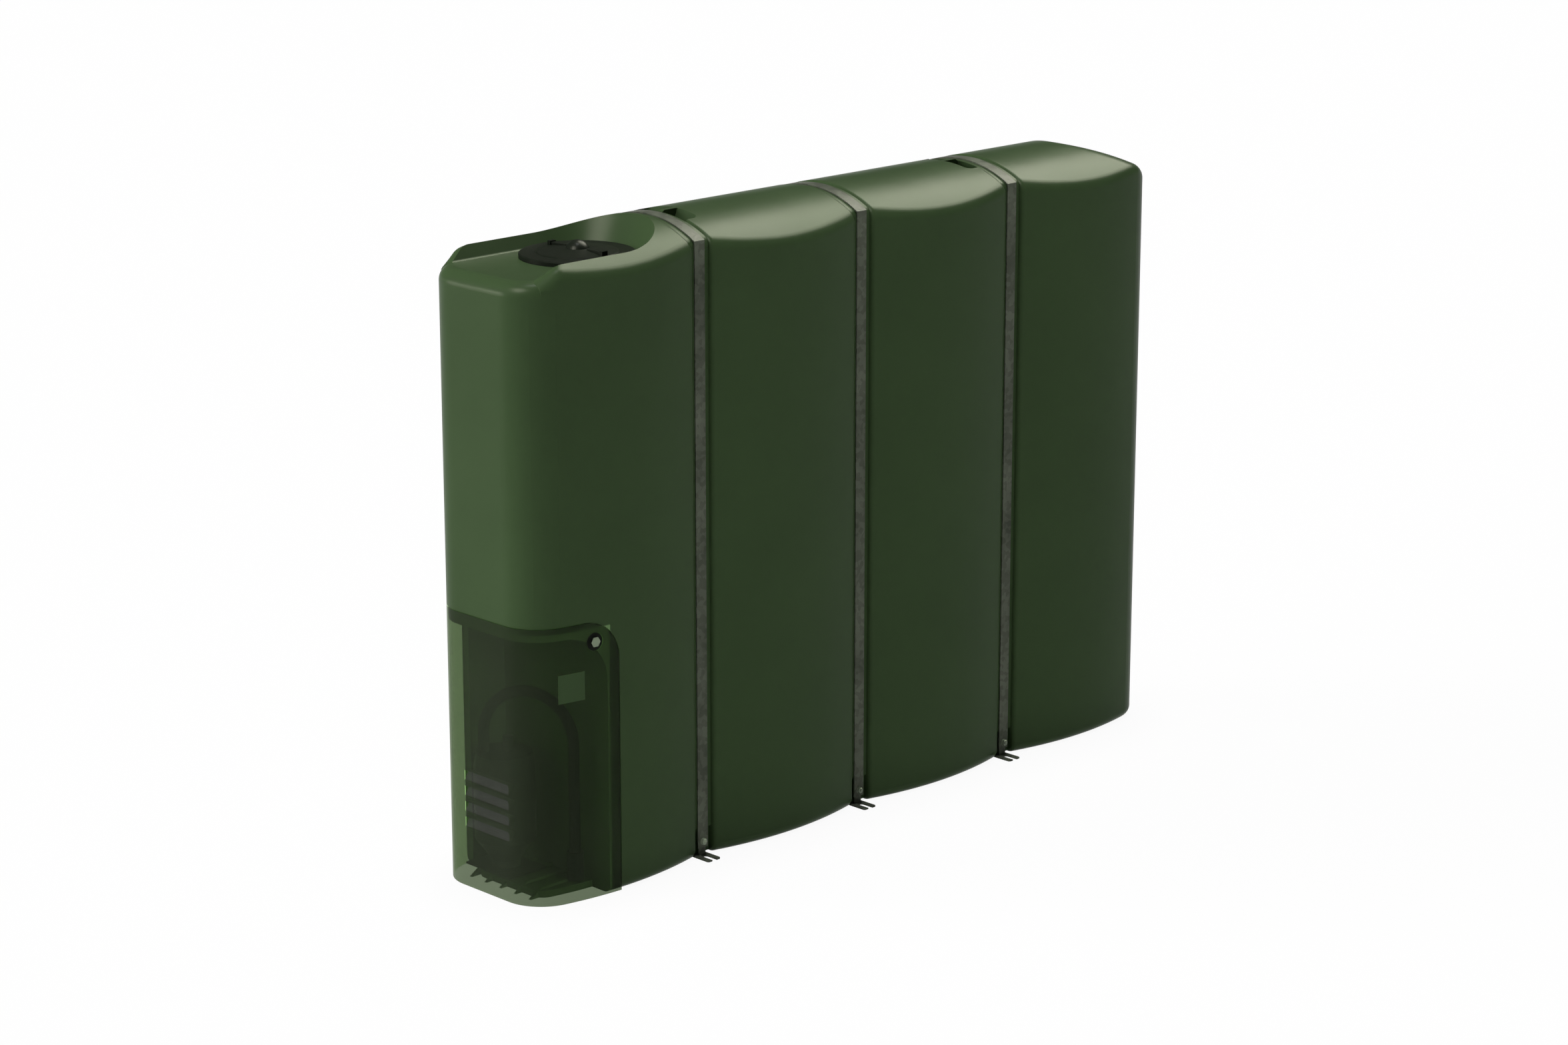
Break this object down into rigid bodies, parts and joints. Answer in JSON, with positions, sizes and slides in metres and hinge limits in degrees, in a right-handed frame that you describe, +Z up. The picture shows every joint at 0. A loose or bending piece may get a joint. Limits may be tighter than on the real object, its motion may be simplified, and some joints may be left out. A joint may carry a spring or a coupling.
{
  "type": "slimline water tank",
  "caption": "Narrow upright moulded water tank with bulged bays, straps in its grooves, a round access lid in a roof pocket and a pump behind a louvred corner cover.",
  "frame": {"origin": "on the ground, at the middle of the tank's length and width", "axes": "+X along the tank from the pump end to the plain end, +Y from the front to the back, +Z up"},
  "size_m": [2.58, 0.508, 1.862],
  "materials": {
    "tank": "semi-matte moulded polyethylene",
    "lid": "matte moulded plastic",
    "strap": "dull dark coating",
    "foot": "dull dark coating",
    "cover": "semi-matte, slightly see-through",
    "knob": "matte moulded plastic",
    "pump": "dark paint",
    "hose": "black rubber"
  },
  "bodies": {
    "root": {"tank_floor": "tank", "left_end_wall": "tank", "right_end_wall": "tank", "front_wall_bay_1": "tank", "front_wall_bay_2": "tank", "front_wall_bay_3": "tank", "front_wall_bay_4": "tank", "back_wall_bay_1": "tank", "back_wall_bay_2": "tank", "back_wall_bay_3": "tank", "back_wall_bay_4": "tank", "roof_bay_1": "tank", "roof_bay_2": "tank", "roof_bay_3": "tank", "roof_bay_4": "tank", "recess_end_wall": "tank", "recess_back_wall": "tank", "recess_ceiling": "tank", "pump_platform": "tank", "access_lid": "lid", "lid_vent_dome": "lid", "strap_1": "strap", "strap_2": "strap", "strap_3": "strap", "strap_foot_front_1": "foot", "strap_foot_front_2": "foot", "strap_foot_front_3": "foot", "strap_foot_back_1": "foot", "strap_foot_back_2": "foot", "strap_foot_back_3": "foot", "pump_cover": "cover", "cover_knob": "knob", "pump_base": "pump", "pump_body": "pump", "pump_cap": "pump", "pump_hose": "hose", "outlet_fitting": "pump"}
  },
  "joints": []
}
